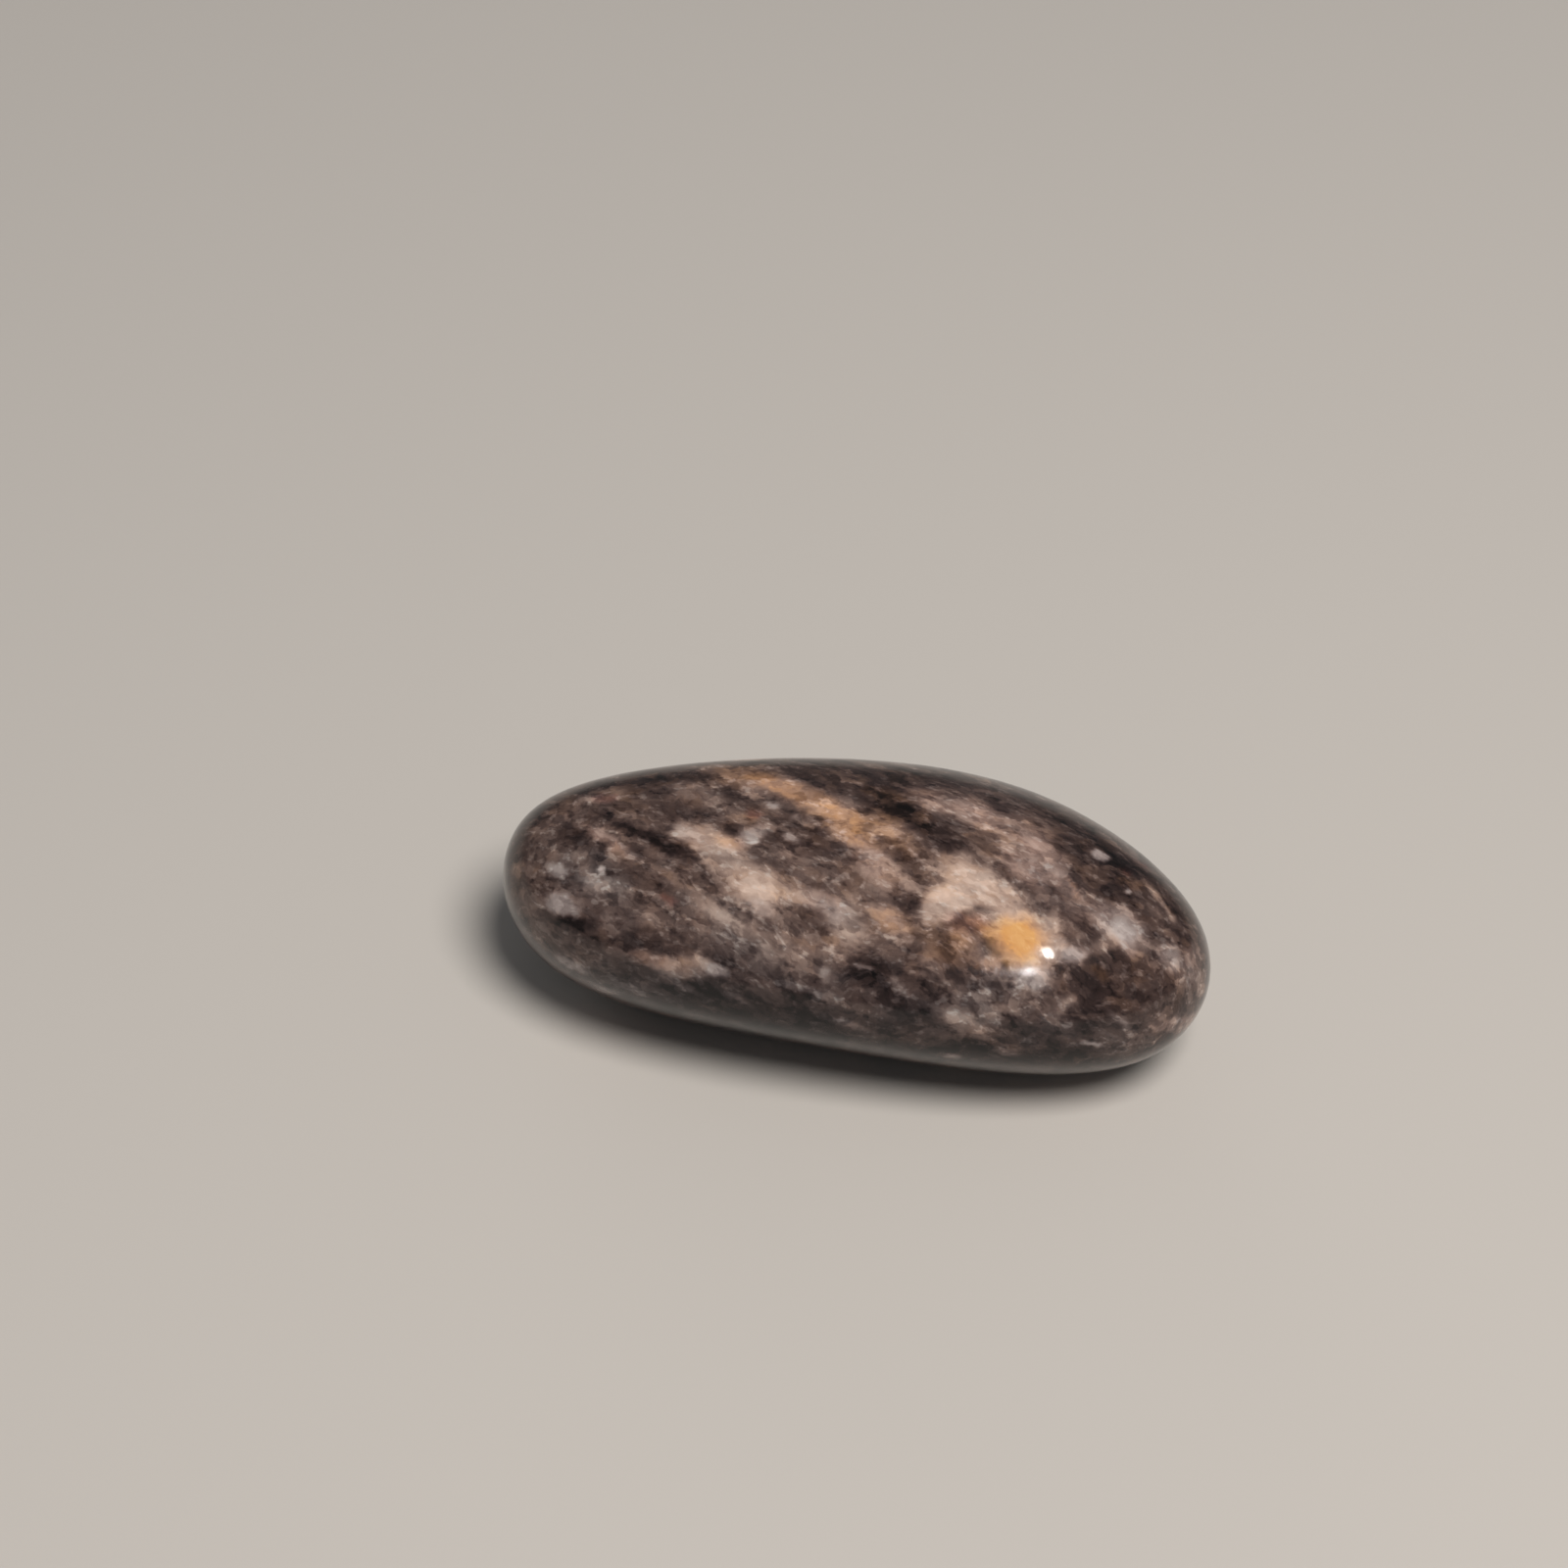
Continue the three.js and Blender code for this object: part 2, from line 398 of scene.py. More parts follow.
class NodeBench:
    """Adds nodes to a node tree and links them."""

    def __init__(self, tree: bpy.types.NodeTree) -> None:
        """Takes the tree that the nodes go in."""
        self.tree = tree

    def add(self, kind: str, feeds: dict[str | int, Feed], **settings: object) -> bpy.types.Node:
        """Adds a node and fills its inputs.

        Args:
            kind: the node's type.
            feeds: another node's output or a plain value for each input, by the input's name or number.
            settings: the node's own settings, by name.

        Returns:
            The node.
        """
        node = self.tree.nodes.new(kind)
        for name, value in settings.items():
            setattr(node, name, value)
        for key, source in feeds.items():
            if isinstance(source, Socket):
                self.tree.links.new(source, node.inputs[key])
            else:
                node.inputs[key].default_value = source
        return node

    def maths(self, operation: str, *sources: Feed, clamp: bool = False) -> Socket:
        """Adds a Math node, fills its inputs in order and gives its result, kept from 0 to 1 if clamped."""
        feeds = dict(enumerate(sources))
        return self.add("ShaderNodeMath", feeds, operation=operation, use_clamp=clamp).outputs["Value"]

    def vectors(self, operation: str, *sources: Feed) -> Socket:
        """Adds a Vector Math node, fills its vector inputs in order and gives its vector."""
        feeds = dict(enumerate(sources))
        return self.add("ShaderNodeVectorMath", feeds, operation=operation).outputs["Vector"]

    def scaled(self, vector: Feed, factor: Feed) -> Socket:
        """Multiplies a vector by a factor."""
        feeds = {"Vector": vector, "Scale": factor}
        return self.add("ShaderNodeVectorMath", feeds, operation="SCALE").outputs["Vector"]

    def turned(self, vector: Feed, turn: Triple, size: Triple) -> Socket:
        """Reads a position in a frame with this turn, as Euler angles, and this unit along each axis."""
        feeds = {"Vector": vector, "Rotation": turn, "Scale": size}
        return self.add("ShaderNodeMapping", feeds, vector_type="TEXTURE").outputs["Vector"]

    def noise(self, vector: Feed, mottle: Mottle, output: str = "Fac") -> Socket:
        """Adds a Noise Texture node that varies as a mottle does, and gives one of its outputs."""
        feeds = dict(zip(NOISE_INPUTS, (vector, mottle.per_mm, mottle.detail, mottle.roughness)))
        return self.add("ShaderNodeTexNoise", feeds).outputs[output]

    def drifted(self, vector: Feed, place: Feed, mottle: Mottle) -> Socket:
        """Pushes a position about, by a mottle that is read at a place and reaches its amount at most."""
        middle = self.vectors("SUBTRACT", self.noise(place, mottle, "Color"), (NOISE_MIDDLE,) * 3)
        return self.vectors("ADD", vector, self.scaled(middle, 2 * mottle.amount))

    def remap(self, value: Feed, old: Limits, new: Limits = (0.0, 1.0)) -> Socket:
        """Moves a value from an old range to a new one, smoothly at both ends."""
        feeds = dict(zip(RANGE_INPUTS, (value, *old, *new)))
        return self.add("ShaderNodeMapRange", feeds, interpolation_type="SMOOTHSTEP").outputs["Result"]

    def ramp(self, value: Feed, stops: Stops) -> Socket:
        """Turns a value into a colour.

        Args:
            value: the value.
            stops: the places from 0 to 1 where a colour is reached, in order.

        Returns:
            The colour.
        """
        node = self.add("ShaderNodeValToRGB", {"Fac": value})
        elements = node.color_ramp.elements
        while len(elements) < len(stops):
            elements.new(1.0)
        for element, (place, colour) in zip(elements, stops):
            element.position = place
            element.color = colour
        return node.outputs["Color"]

    def blend(self, share: Feed, first: Feed, second: Feed, way: str = "MIX") -> Socket:
        """Mixes a share of a second colour into a first one, in one of the Mix node's ways."""
        feeds = {MIX_SHARE: share, MIX_FIRST: first, MIX_SECOND: second}
        return self.add("ShaderNodeMix", feeds, data_type="RGBA", blend_type=way).outputs[MIX_RESULT]


@dataclass(frozen=True)
class Lens:
    """A lens-shaped space in the stone.

    Attributes:
        centre: its centre, in millimetres.
        axes: its three axes, one in a row, each a unit vector divided by the half size along it.
        heart: how far out it is whole, as a share of its half sizes.
        fringe: how far out it has faded away.
    """

    centre: Vector
    axes: Matrix
    heart: float = 0.4
    fringe: float = 1.35

    @classmethod
    def lying(cls, centre: Vector, along: Vector, across: Vector, half_depth: float) -> "Lens":
        """Lays a lens on a surface.

        Args:
            centre: its centre, in millimetres.
            along: from its centre to one tip, in millimetres.
            across: from its centre to its side, in millimetres.
            half_depth: how far it reaches into the stone, in millimetres.

        Returns:
            The lens.
        """
        across = across - along * across.dot(along) / along.length_squared
        through = along.cross(across).normalized() * half_depth
        return cls(centre, Matrix([axis / axis.length_squared for axis in (along, across, through)]))

    def cover(self, points: np.ndarray) -> np.ndarray:
        """Finds how much of the lens there is at each point.

        Args:
            points: the points in millimetres, one in a row.

        Returns:
            From 0 outside to 1 in its heart, for each point.
        """
        inside = (points - np.array(self.centre)) @ np.array(self.axes).T
        out = np.linalg.norm(inside, axis=1)
        share = np.clip((self.fringe - out) / (self.fringe - self.heart), 0.0, 1.0)
        return share * share * (3 - 2 * share)


@dataclass
class MineralMap:
    """Sets the mineral bodies into the pebble's points.

    Attributes:
        view: the reference view.
        pebble: the pebble.
        seed: picks one way of strewing bodies, and of fraying the edges of all bodies.
        ragged_mm: how far the bodies' edges wander.
        coarse_per_mm: how often they turn in a millimetre.
        fine_per_mm: how often their finer fraying does.
        fine_share: how far that reaches, as a share of ragged_mm.
        depth_by_width: how deep a shown body is at least, as a share of its width.
        depth_by_length: the same, as a share of its length.
        strewn: how many bodies are strewn over the side that the view doesn't show.
        strewn_minerals: the minerals that they are made of.
        strewn_facing: the most that the surface may face the view where they lie, as a cosine.
        strewn_stray: how far each part of their direction strays from the minerals' run.
        strewn_least_mm: the least length of half a body.
        strewn_spread_mm: how much longer it can be.
        strewn_widths: the least and the greatest width, as shares of the length.
        strewn_depth: the depth, as a share of the length.
        strewn_strengths: the least and the greatest strength.
    """

    view: ReferenceView
    pebble: bpy.types.Object
    seed: int = 5
    ragged_mm: float = 0.16
    coarse_per_mm: float = 1.7
    fine_per_mm: float = 4.1
    fine_share: float = 0.6
    depth_by_width: float = 1.2
    depth_by_length: float = 0.35
    strewn: int = 150
    strewn_minerals: tuple[Mineral, ...] = (MICA, CREAM, BLUSH, QUARTZ)
    strewn_facing: float = 0.05
    strewn_stray: float = 0.25
    strewn_least_mm: float = 0.4
    strewn_spread_mm: float = 2.8
    strewn_widths: Limits = (0.3, 0.55)
    strewn_depth: float = 0.5
    strewn_strengths: Limits = (0.3, 1.1)

    def paint(self) -> None:
        """Writes what the bodies change, tone, warmth and blush, and how much amber there is."""
        points = self.ragged_points()
        change = np.zeros((len(points), 4))
        shown = [(self.shown_lens(body), body.mineral, body.strength) for body in MINERAL_BODIES]
        for lens, mineral, strength in shown + self.strewn_lenses():
            change += np.outer(lens.cover(points), np.array(mineral.value) * strength)
        # The minerals attribute also carries the painted shade, painted light and painted glints of some
        # bodies.
        minerals = self.pebble.data.attributes.new("minerals", "FLOAT_VECTOR", "POINT")
        minerals.data.foreach_set("vector", change[:, :3].ravel())
        amber = self.pebble.data.attributes.new("amber", "FLOAT", "POINT")
        amber.data.foreach_set("value", np.ascontiguousarray(change[:, 3]))

    def ragged_points(self) -> np.ndarray:
        """Takes the pebble's points, each pushed about a little so that the bodies get ragged edges.

        Returns:
            The points in millimetres, one in a row.
        """
        noise.seed_set(self.seed)
        points = []
        for vertex in self.pebble.data.vertices:
            point = vertex.co / MM
            coarse = noise.noise_vector(point * self.coarse_per_mm)
            fine = noise.noise_vector(point * self.fine_per_mm)
            points.append(point + (coarse + fine * self.fine_share) * self.ragged_mm)
        return np.array(points)

    def touch(self, pixel: Pixel) -> Vector:
        """Finds the point that a pixel of the view shows.

        Args:
            pixel: the pixel's column and row.

        Returns:
            The point in millimetres, or the nearest one on the pebble where the pixel looks past it.
        """
        eye = self.view.eye
        ray = self.view.ray(pixel)
        seen, point, _normal, _face = self.pebble.ray_cast(eye, ray)
        if not seen:
            beside = eye + ray * self.view.distance_mm * MM
            _found, point, _normal, _face = self.pebble.closest_point_on_mesh(beside)
        return point / MM

    def shown_lens(self, body: MineralBody) -> Lens:
        """Lays a body's lens where the view shows it.

        Args:
            body: the mineral body.

        Returns:
            The lens.
        """
        start = Vector(body.start)
        end = Vector(body.end)
        middle = (start + end) / 2
        side = (end - start).orthogonal().normalized() * body.width / 2
        along = (self.touch(end) - self.touch(start)) / 2
        across = (self.touch(middle + side) - self.touch(middle - side)) / 2
        half_depth = max(self.depth_by_width * across.length, self.depth_by_length * along.length)
        return Lens.lying(self.touch(middle), along, across, half_depth)

    def strewn_lenses(self) -> list[tuple[Lens, Mineral, float]]:
        """Strews lenses over the side that the view doesn't show.

        Returns:
            Each lens, its mineral and its strength.
        """
        chance = random.Random(self.seed)
        stray = self.strewn_stray
        back = self.view.back
        hidden = [spot for spot in self.pebble.data.vertices if spot.normal.dot(back) < self.strewn_facing]
        lenses = []
        for spot in chance.sample(hidden, self.strewn):
            run = Vector(GRAIN_RUN) + Vector([chance.uniform(-stray, stray) for _axis in range(3)])
            half_length = self.strewn_least_mm + self.strewn_spread_mm * chance.random() ** 2
            along = (run - spot.normal * run.dot(spot.normal)).normalized() * half_length
            across = along.cross(spot.normal) * chance.uniform(*self.strewn_widths)
            lens = Lens.lying(spot.co / MM, along, across, self.strewn_depth * half_length)
            mineral = chance.choice(self.strewn_minerals)
            lenses.append((lens, mineral, chance.uniform(*self.strewn_strengths)))
        return lenses


@dataclass(frozen=True)
class GraniteFinish:
    """Polished, layered granite.

    Attributes:
        layer_normal: the direction across the layers.
        stretch: how much longer a mineral streak is along the run, across it and through the layer.
        grain_stretch: the same for a single grain.
        fold: how the layers bend.
        fray: how their edges fray.
        bands: broad light and dark layers.
        streaks: thin ones.
        fine: the smallest grains, which also make the relief.
        hue: patches of warm and grey rock.
        grit: light specks.
        grit_limits: the noise at the edge and in the heart of a light speck.
        grit_warmth: how warm it is.
        flakes: dark specks of mica.
        flake_limits: the same for a speck of mica.
        clots_per_mm: how many large grains lie in a millimetre.
        clot_tone: how much their tones differ.
        flecks_per_mm: how many small grains lie in a millimetre.
        fleck_tone: how much the tones of those differ.
        grain_warmth: how much the warmth differs from grain to grain.
        grain_softness: how softly a grain turns into the next.
        tones: the rock's colours from mica to feldspar.
        middle_tone: the place among them of rock where no mineral stands out.
        full_change: the most that mineral bodies change the tone where they overlap.
        body_mottle: how strongly the layers show through a light mineral body.
        body_limits: the shares of the full change where it starts to even them out and is done.
        tan_tint: what warm rock's colour is multiplied by.
        ash_tint: the same for grey rock.
        pink_tint: the same for pink rock.
        amber_tones: the amber spot's colours from dark to light.
        amber_middle: the place among them where the rock has its middle tone.
        amber_fullness: how much of the amber shows there.
        amber_mottle: how strongly the layers show in it.
        polish: roughness of the best polished grains.
        mica_polish: roughness of the mica.
        polish_limits: the tones of the mica and of the best polished grains.
        specular_level: how strongly the polish reflects.
        relief_mm: how far softer grains lie below harder ones.
    """

    layer_normal: Triple = (0.304, 0.907, 0.291)
    stretch: Triple = (3.2, 1.7, 1.0)
    grain_stretch: Triple = (1.7, 1.2, 0.9)
    fold: Mottle = Mottle(0.16, 2.0, 0.55, 0.9)
    fray: Mottle = Mottle(1.8, 3.0, 0.55, 0.3)
    bands: Mottle = Mottle(0.38, 2.0, 0.5, 0.35)
    streaks: Mottle = Mottle(1.25, 4.0, 0.55, 0.72)
    fine: Mottle = Mottle(5.0, 2.0, 0.5, 0.22)
    hue: Mottle = Mottle(0.45, 2.0, 0.5, 0.9)
    grit: Mottle = Mottle(2.7, 2.0, 0.6, 0.15)
    grit_limits: Limits = (0.55, 0.67)
    grit_warmth: float = -0.35
    flakes: Mottle = Mottle(2.1, 2.0, 0.6, -0.14)
    flake_limits: Limits = (0.56, 0.68)
    clots_per_mm: float = 1.1
    clot_tone: float = 0.18
    flecks_per_mm: float = 2.4
    fleck_tone: float = 0.2
    grain_warmth: float = 0.3
    grain_softness: float = 0.25
    tones: Stops = (
        (0.00, display_colour(13, 9, 9)),
        (0.14, display_colour(29, 21, 20)),
        (0.28, display_colour(51, 39, 37)),
        (0.42, display_colour(73, 58, 54)),
        (0.55, display_colour(98, 80, 74)),
        (0.68, display_colour(128, 107, 98)),
        (0.82, display_colour(168, 144, 131)),
        (1.00, display_colour(214, 188, 172)),
    )
    middle_tone: float = 0.43
    full_change: float = 0.5
    body_mottle: float = 0.5
    body_limits: Limits = (0.1, 1.0)
    tan_tint: Colour = (1.2, 0.95, 0.58, 1.0)
    ash_tint: Colour = (0.78, 0.97, 1.12, 1.0)
    pink_tint: Colour = (1.18, 0.88, 0.92, 1.0)
    amber_tones: Stops = (
        (0.0, display_colour(174, 118, 72)),
        (0.5, display_colour(208, 153, 94)),
        (1.0, display_colour(224, 180, 124)),
    )
    amber_middle: float = 0.5
    amber_fullness: float = 1.1
    amber_mottle: float = 1.2
    polish: float = 0.1
    mica_polish: float = 0.2
    polish_limits: Limits = (0.1, 0.6)
    specular_level: float = 0.4
    relief_mm: float = 0.004

    def layer_turn(self) -> Triple:
        """The turn of the layers' own frame, as Euler angles."""
        normal = Vector(self.layer_normal).normalized()
        run = Vector(GRAIN_RUN)
        run = (run - normal * run.dot(normal)).normalized()
        return tuple(Matrix((run, normal.cross(run), normal)).transposed().to_euler())

    def build(self) -> bpy.types.Material:
        """Makes the material.

        Returns:
            The material.
        """
        material = bpy.data.materials.new("polished_granite")
        material.use_nodes = True
        material.node_tree.nodes.clear()
        bench = NodeBench(material.node_tree)
        place = bench.scaled(bench.add("ShaderNodeTexCoord", {}).outputs["Object"], 1 / MM)
        # The minerals attribute holds painted shade, painted light and painted glints beside the minerals.
        bodies = bench.add("ShaderNodeAttribute", {}, attribute_name="minerals").outputs["Vector"]
        tone_change, warmth, blush = bench.add("ShaderNodeSeparateXYZ", {"Vector": bodies}).outputs
        amber = bench.add("ShaderNodeAttribute", {}, attribute_name="amber").outputs["Fac"]

        rock, rock_warmth, relief = self.layers(bench, place)
        eased = bench.maths("TANH", bench.maths("DIVIDE", tone_change, self.full_change))
        evenness = bench.remap(eased, self.body_limits, (1.0, self.body_mottle))
        tone = bench.maths("MULTIPLY_ADD", rock, evenness, self.middle_tone)
        tone = bench.maths("MULTIPLY_ADD", eased, self.full_change, tone)
        colour = bench.ramp(tone, self.tones)
        colour = self.tinted(bench, colour, bench.maths("ADD", warmth, rock_warmth), blush)
        fullness = bench.maths("MULTIPLY_ADD", rock, self.amber_mottle, self.amber_fullness)
        ragged = bench.maths("MULTIPLY", amber, fullness, clamp=True)
        cloudy = bench.maths("MULTIPLY_ADD", rock, self.amber_mottle, self.amber_middle)
        colour = bench.blend(ragged, colour, bench.ramp(cloudy, self.amber_tones))

        bump_feeds = {"Strength": 1.0, "Distance": self.relief_mm * MM, "Height": relief}
        shader_feeds = {
            "Base Color": colour,
            "Roughness": bench.remap(tone, self.polish_limits, (self.mica_polish, self.polish)),
            "Specular IOR Level": self.specular_level,
            "Normal": bench.add("ShaderNodeBump", bump_feeds).outputs["Normal"],
        }
        surface = bench.add("ShaderNodeBsdfPrincipled", shader_feeds).outputs["BSDF"]
        bench.add("ShaderNodeOutputMaterial", {"Surface": surface})
        return material

    def layers(self, bench: NodeBench, place: Socket) -> tuple[Socket, Socket, Socket]:
        """Makes the layered rock between the mineral bodies.

        Args:
            bench: where the nodes go.
            place: the position in millimetres.

        Returns:
            How much lighter than the middle tone the rock is, its warmth, and the height of its surface.
        """
        folded = bench.drifted(place, place, self.fold)
        frayed = bench.drifted(folded, place, self.fray)
        turn = self.layer_turn()
        layered = bench.turned(frayed, turn, self.stretch)
        grained = bench.turned(frayed, turn, self.grain_stretch)
        chipped = bench.turned(folded, turn, self.grain_stretch)
        clots, clot_hue = self.grains(bench, grained, self.clots_per_mm)
        flecks, fleck_hue = self.grains(bench, grained, self.flecks_per_mm)
        fine = bench.noise(grained, self.fine)
        grit = bench.remap(bench.noise(chipped, self.grit), self.grit_limits)
        flakes = bench.remap(bench.noise(chipped, self.flakes), self.flake_limits)

        light_layers = (
            (bench.noise(layered, self.bands), self.bands.amount),
            (bench.noise(layered, self.streaks), self.streaks.amount),
            (clots, self.clot_tone),
            (flecks, self.fleck_tone),
            (fine, self.fine.amount),
        )
        warm_layers = (
            (bench.noise(folded, self.hue), self.hue.amount),
            (clot_hue, self.grain_warmth),
            (fleck_hue, self.grain_warmth),
        )
        tone = self.weighed(bench, light_layers)
        tone = bench.maths("MULTIPLY_ADD", grit, self.grit.amount, tone)
        tone = bench.maths("MULTIPLY_ADD", flakes, self.flakes.amount, tone)
        warmth = self.weighed(bench, warm_layers)
        warmth = bench.maths("MULTIPLY_ADD", grit, self.grit_warmth, warmth)
        return tone, warmth, fine

    def weighed(self, bench: NodeBench, layers: tuple[tuple[Socket, float], ...]) -> Feed:
        """Adds up layers that lie around the middle of a noise.

        Args:
            bench: where the nodes go.
            layers: each layer and its weight.

        Returns:
            The sum, which is 0 where every layer is at that middle.
        """
        total: Feed = 0.0
        for layer, weight in layers:
            middle = bench.maths("SUBTRACT", layer, NOISE_MIDDLE)
            total = bench.maths("MULTIPLY_ADD", middle, weight, total)
        return total

    def grains(self, bench: NodeBench, place: Socket, per_mm: float) -> tuple[Socket, Socket]:
        """Fills the rock with grains of one size.

        Args:
            bench: where the nodes go.
            place: the position in millimetres, in the grains' frame.
            per_mm: how many grains lie in a millimetre.

        Returns:
            Two values from 0 to 1 that differ from grain to grain.
        """
        feeds = {"Vector": place, "Scale": per_mm, "Smoothness": self.grain_softness}
        cells = bench.add("ShaderNodeTexVoronoi", feeds, feature="SMOOTH_F1")
        parts = bench.add("ShaderNodeSeparateColor", {"Color": cells.outputs["Color"]})
        return parts.outputs["Red"], parts.outputs["Green"]

    def tinted(self, bench: NodeBench, colour: Socket, warmth: Socket, blush: Socket) -> Socket:
        """Tints the rock's colour warm, grey or pink.

        Args:
            bench: where the nodes go.
            colour: the colour before.
            warmth: from -1, grey, to 1, tan.
            blush: from 0 to 1, pink.

        Returns:
            The tinted colour.
        """
        colour = bench.blend(bench.maths("MINIMUM", warmth, 1.0), colour, self.tan_tint, "MULTIPLY")
        colour = bench.blend(bench.maths("MULTIPLY", warmth, -1.0), colour, self.ash_tint, "MULTIPLY")
        return bench.blend(blush, colour, self.pink_tint, "MULTIPLY")


@dataclass(frozen=True)
class Pebble:
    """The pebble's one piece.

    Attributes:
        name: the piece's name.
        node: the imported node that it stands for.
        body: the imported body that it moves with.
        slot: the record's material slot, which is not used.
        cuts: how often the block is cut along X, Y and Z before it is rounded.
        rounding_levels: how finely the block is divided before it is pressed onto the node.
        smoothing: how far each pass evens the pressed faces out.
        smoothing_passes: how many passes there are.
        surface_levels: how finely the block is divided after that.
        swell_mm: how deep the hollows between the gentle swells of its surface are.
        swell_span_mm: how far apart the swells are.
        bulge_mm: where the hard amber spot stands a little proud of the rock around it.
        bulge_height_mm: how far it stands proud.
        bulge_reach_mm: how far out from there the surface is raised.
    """

    name: str = "polished_stone"
    node: str = "stone"
    body: str = "root"
    slot: str = "granite"
    cuts: tuple[int, int, int] = (5, 2, 2)
    rounding_levels: int = 2
    smoothing: float = 0.5
    smoothing_passes: int = 4
    surface_levels: int = 3
    swell_mm: float = 0.02
    swell_span_mm: float = 5.0
    bulge_mm: Triple = (9.27, -4.70, 9.17)
    bulge_height_mm: float = 0.06
    bulge_reach_mm: float = 2.4

    def build(self) -> bpy.types.Object:
        """Models the pebble.

        Returns:
            The piece, riding on its body in place of its node.
        """
        piece = self.block()
        self.press(piece)
        self.wear(piece)
        self.raise_bulge(piece)
        self.fill_box(piece)
        bpy.ops.object.shade_smooth()
        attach(piece, self.body)
        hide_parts(self.node)
        return piece

    def block(self) -> bpy.types.Object:
        """Cuts a cube of the node's size into even faces.

        Returns:
            The block, at the origin.
        """
        low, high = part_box(self.node)
        bpy.ops.object.select_all(action="DESELECT")
        bpy.ops.mesh.primitive_cube_add(size=1.0, location=(low + high) / 2, scale=high - low)
        piece = bpy.context.object
        piece.name = self.name
        bpy.ops.object.transform_apply(location=True, rotation=True, scale=True)
        bpy.ops.object.mode_set(mode="EDIT")
        bpy.ops.mesh.select_mode(type="EDGE")
        for axis, cuts in enumerate(self.cuts):
            bpy.ops.mesh.select_all(action="DESELECT")
            cage = bmesh.from_edit_mesh(piece.data)
            for edge in cage.edges:
                run = edge.verts[1].co - edge.verts[0].co
                edge.select_set(abs(run[axis]) == max(map(abs, run)))
            bmesh.update_edit_mesh(piece.data)
            bpy.ops.mesh.subdivide(number_cuts=cuts)
        bpy.ops.object.mode_set(mode="OBJECT")
        return piece

    def apply(self, piece: bpy.types.Object, kind: str, **settings: object) -> None:
        """Adds a modifier, sets it and applies it.

        Args:
            piece: the piece, which is the active object.
            kind: the modifier's type.
            settings: the modifier's settings, by name.
        """
        bpy.ops.object.modifier_add(type=kind)
        modifier = piece.modifiers[-1]
        for name, value in settings.items():
            setattr(modifier, name, value)
        bpy.ops.object.modifier_apply(modifier=modifier.name)

    def press(self, piece: bpy.types.Object) -> None:
        """Rounds the block, presses it onto the node and divides it into a smooth surface.

        Args:
            piece: the block.
        """
        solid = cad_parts[self.node]
        self.apply(piece, "SUBSURF", levels=self.rounding_levels, render_levels=self.rounding_levels)
        self.apply(piece, "SHRINKWRAP", target=solid, wrap_method="NEAREST_SURFACEPOINT")
        self.apply(piece, "SMOOTH", factor=self.smoothing, iterations=self.smoothing_passes)
        self.apply(piece, "SHRINKWRAP", target=solid, wrap_method="NEAREST_SURFACEPOINT")
        self.apply(piece, "SUBSURF", levels=self.surface_levels, render_levels=self.surface_levels)

    def wear(self, piece: bpy.types.Object) -> None:
        """Wears gentle hollows into the surface, inwards only.

        Args:
            piece: the pressed piece.
        """
        swell = bpy.data.textures.new("swell", "CLOUDS")
        swell.noise_scale = self.swell_span_mm * MM
        swell.noise_depth = 1
        self.apply(
            piece,
            "DISPLACE",
            texture=swell,
            texture_coords="LOCAL",
            direction="NORMAL",
            mid_level=1.0,
            strength=self.swell_mm * MM,
        )

    def raise_bulge(self, piece: bpy.types.Object) -> None:
        """Raises the surface around the amber spot.

        Args:
            piece: the worn piece.
        """
        centre = Vector(self.bulge_mm) * MM
        bpy.ops.object.mode_set(mode="EDIT")
        bpy.ops.mesh.select_mode(type="VERT")
        bpy.ops.mesh.select_all(action="DESELECT")
        skin = bmesh.from_edit_mesh(piece.data)
        top = min(skin.verts, key=lambda vertex: (vertex.co - centre).length_squared)
        top.select_set(True)
        outward = top.normal.copy()
        bmesh.update_edit_mesh(piece.data)
        bpy.ops.transform.translate(
            value=outward * self.bulge_height_mm * MM,
            use_proportional_edit=True,
            proportional_edit_falloff="SMOOTH",
            proportional_size=self.bulge_reach_mm * MM,
        )
        bpy.ops.object.mode_set(mode="OBJECT")

    def fill_box(self, piece: bpy.types.Object) -> None:
        """Stretches the piece by the little that rounding took off, so that it fills the node's box.

        Args:
            piece: the worn piece.
        """
        low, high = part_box(self.node)
        corners = np.array(piece.bound_box)
        own_low = Vector(corners.min(axis=0))
        own_size = corners.max(axis=0) - corners.min(axis=0)
        stretch = [(high[axis] - low[axis]) / own_size[axis] for axis in range(3)]
        bpy.ops.transform.translate(value=low - own_low)
        bpy.ops.transform.resize(value=stretch, center_override=low)
        bpy.ops.object.transform_apply(location=True, rotation=True, scale=True)


class LampRole(Enum):
    """What a studio lamp is for."""

    SOFT = "soft"
    GLINT = "glint"


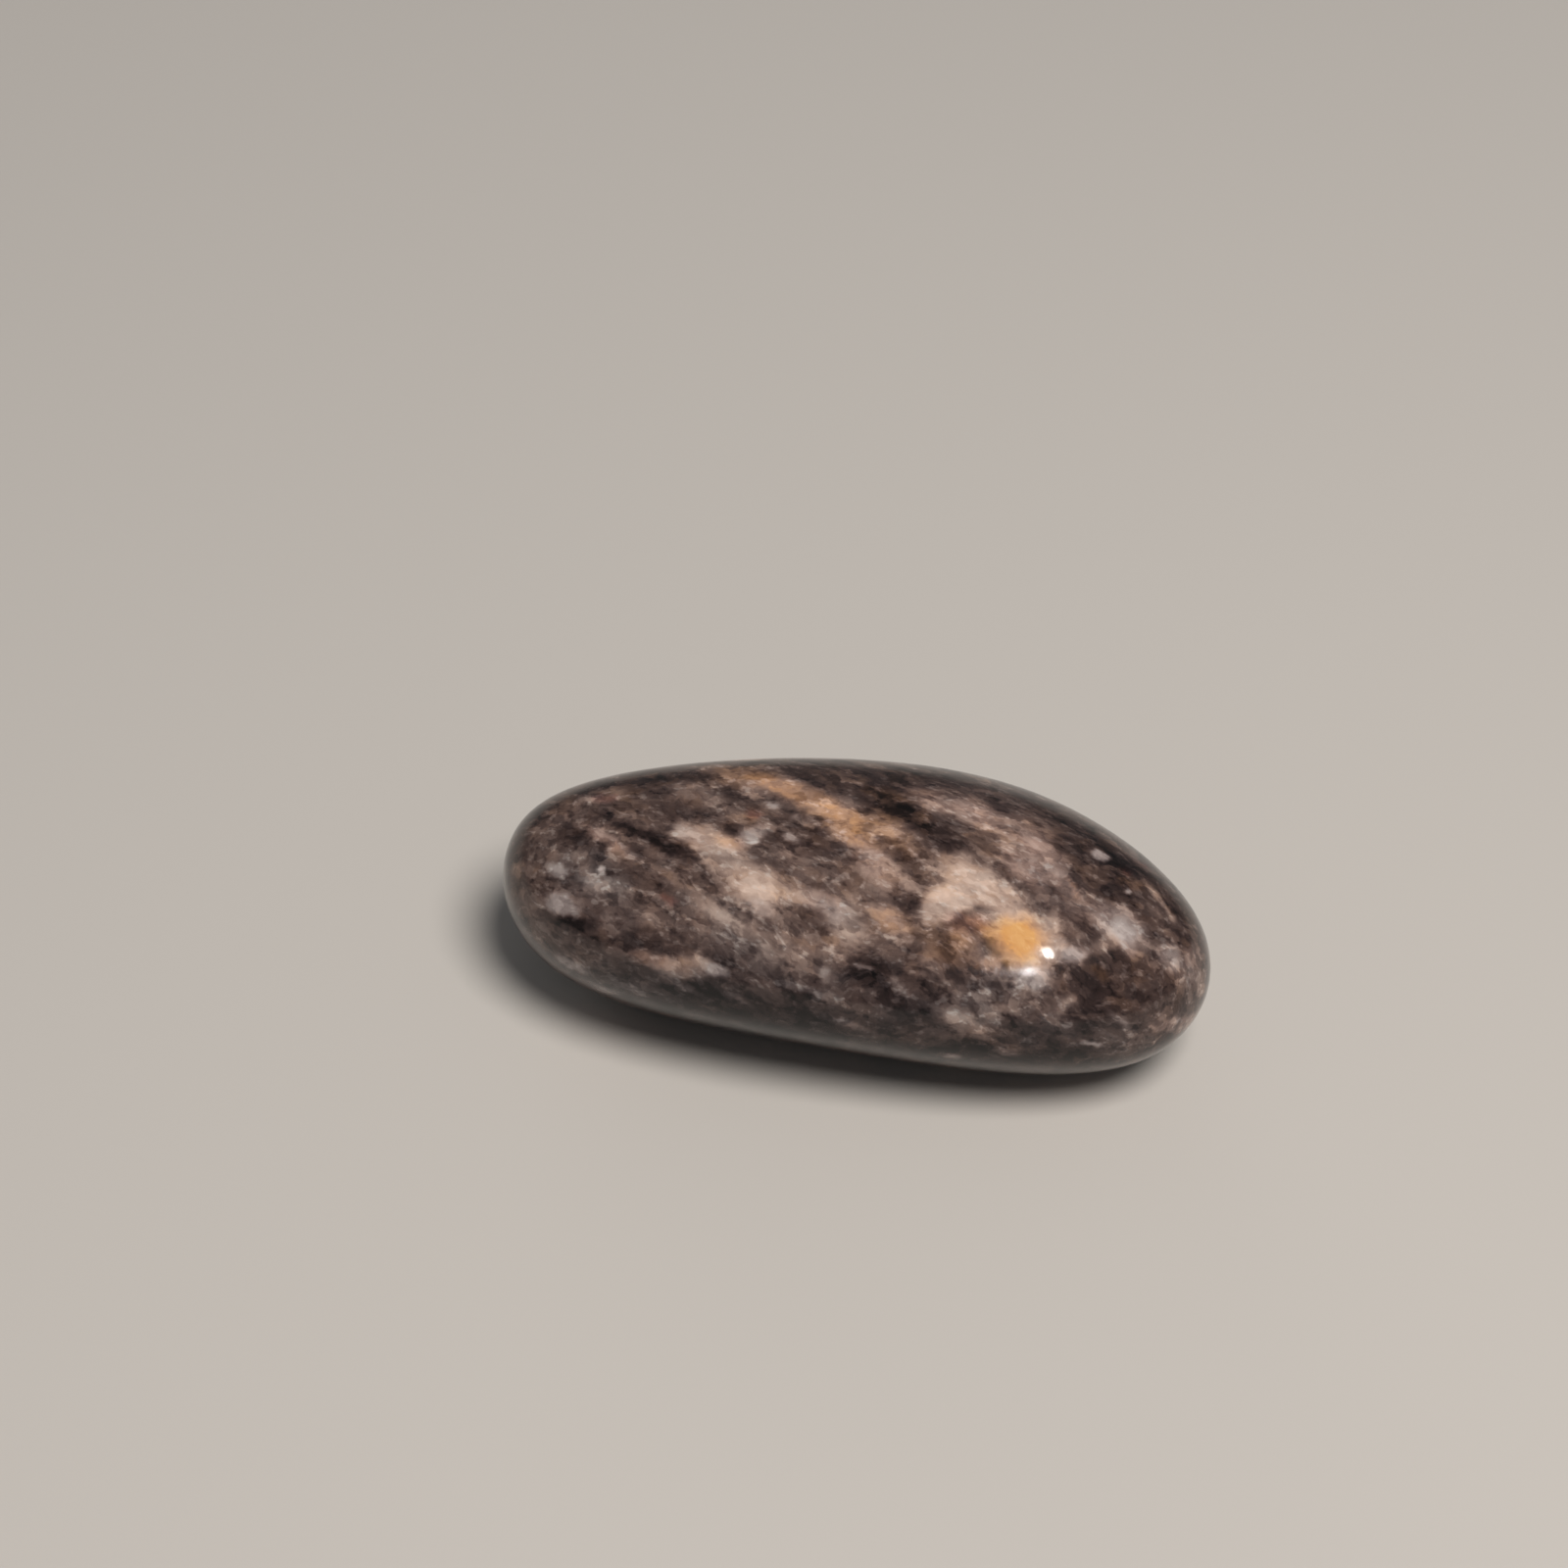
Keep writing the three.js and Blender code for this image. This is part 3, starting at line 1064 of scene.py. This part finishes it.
@dataclass(frozen=True)
class Lamp:
    """A studio lamp.

    A soft lamp lights the pebble without a reflection of its own. A glint lamp shows only as a reflection.

    Attributes:
        name: the lamp's name.
        role: what it is for.
        direction: where it stands, seen from the pebble.
        distance_mm: how far away it stands.
        size_mm: how wide and how tall it is.
        watts: its power.
        colour: the colour of its light.
    """

    name: str
    role: LampRole
    direction: Triple
    distance_mm: float
    size_mm: tuple[float, float]
    watts: float
    colour: Triple = (1.0, 0.95, 0.9)

    def build(self, target: Vector, right: Vector) -> None:
        """Makes the lamp and turns it to the pebble.

        Args:
            target: the point that it faces, in metres.
            right: the direction that its width lies along.
        """
        data = bpy.data.lights.new(self.name, "AREA")
        data.shape = "ELLIPSE"
        data.size = self.size_mm[0] * MM
        data.size_y = self.size_mm[1] * MM
        data.energy = self.watts
        data.color = self.colour
        lamp = bpy.data.objects.new(self.name, data)
        bpy.context.scene.collection.objects.link(lamp)
        away = Vector(self.direction).normalized()
        across = (right - away * right.dot(away)).normalized()
        turn = Matrix((across, away.cross(across), away)).transposed()
        lamp.matrix_world = Matrix.LocRotScale(target + away * self.distance_mm * MM, turn, None)
        lamp.visible_diffuse = self.role is LampRole.SOFT
        lamp.visible_glossy = self.role is LampRole.GLINT


@dataclass(frozen=True)
class Studio:
    """A pale floor and soft light.

    Attributes:
        floor_mm: how wide the floor is.
        floor_colour: its colour.
        floor_roughness: how dull it is.
        sky_colour: the colour of the light from all around.
        sky_strength: how strong that light is.
        lamps: the lamps.
    """

    floor_mm: float = 4000.0
    floor_colour: Colour = display_colour(198, 194, 189)
    floor_roughness: float = 0.6
    sky_colour: Colour = (0.93, 0.96, 1.0, 1.0)
    sky_strength: float = 0.12
    lamps: tuple[Lamp, ...] = (
        Lamp("front_softbox", LampRole.SOFT, (0.32, -0.34, 0.88), 420, (180, 180), 1.8),
        Lamp("back_softbox", LampRole.SOFT, (-0.5, 0.84, 0.2), 450, (300, 160), 0.2),
        Lamp("large_glint", LampRole.GLINT, (0.322, -0.37, 0.872), 320, (13, 58), 0.18),
        Lamp("small_glint", LampRole.GLINT, (0.268, -0.645, 0.716), 320, (5, 40), 0.042, (1.0, 0.94, 0.94)),
    )

    def build(self, view: ReferenceView) -> None:
        """Makes the floor, the sky and the lamps.

        Args:
            view: the view that the lamps are turned for.
        """
        self.floor()
        self.sky()
        middle = (packed_low + packed_high) / 2
        for lamp in self.lamps:
            lamp.build(middle, view.right)
        bpy.context.scene.view_settings.view_transform = "Standard"

    def floor(self) -> None:
        """Makes the floor."""
        bpy.ops.object.select_all(action="DESELECT")
        bpy.ops.mesh.primitive_plane_add(size=self.floor_mm * MM)
        floor = bpy.context.object
        floor.name = "floor"
        material = bpy.data.materials.new("pale_floor")
        material.use_nodes = True
        shader = material.node_tree.nodes["Principled BSDF"]
        shader.inputs["Base Color"].default_value = self.floor_colour
        shader.inputs["Roughness"].default_value = self.floor_roughness
        floor.data.materials.append(material)

    def sky(self) -> None:
        """Makes the light from all around."""
        world = bpy.data.worlds.new("soft_sky")
        world.use_nodes = True
        background = world.node_tree.nodes["Background"]
        background.inputs["Color"].default_value = self.sky_colour
        background.inputs["Strength"].default_value = self.sky_strength
        bpy.context.scene.world = world


def main() -> None:
    """Builds the camera, the pebble and the studio."""
    logging.basicConfig(level=logging.INFO, format="%(name)s: %(message)s")
    view = ReferenceView()
    view.build()
    pebble = Pebble().build()
    log.info("%s: %d faces", pebble.name, len(pebble.data.polygons))
    MineralMap(view, pebble).paint()
    granite = GraniteFinish().build()
    pebble.data.materials.append(granite)
    log.info("%s: %d nodes", granite.name, len(granite.node_tree.nodes))
    Studio().build(view)


if __name__ == "__main__":
    main()
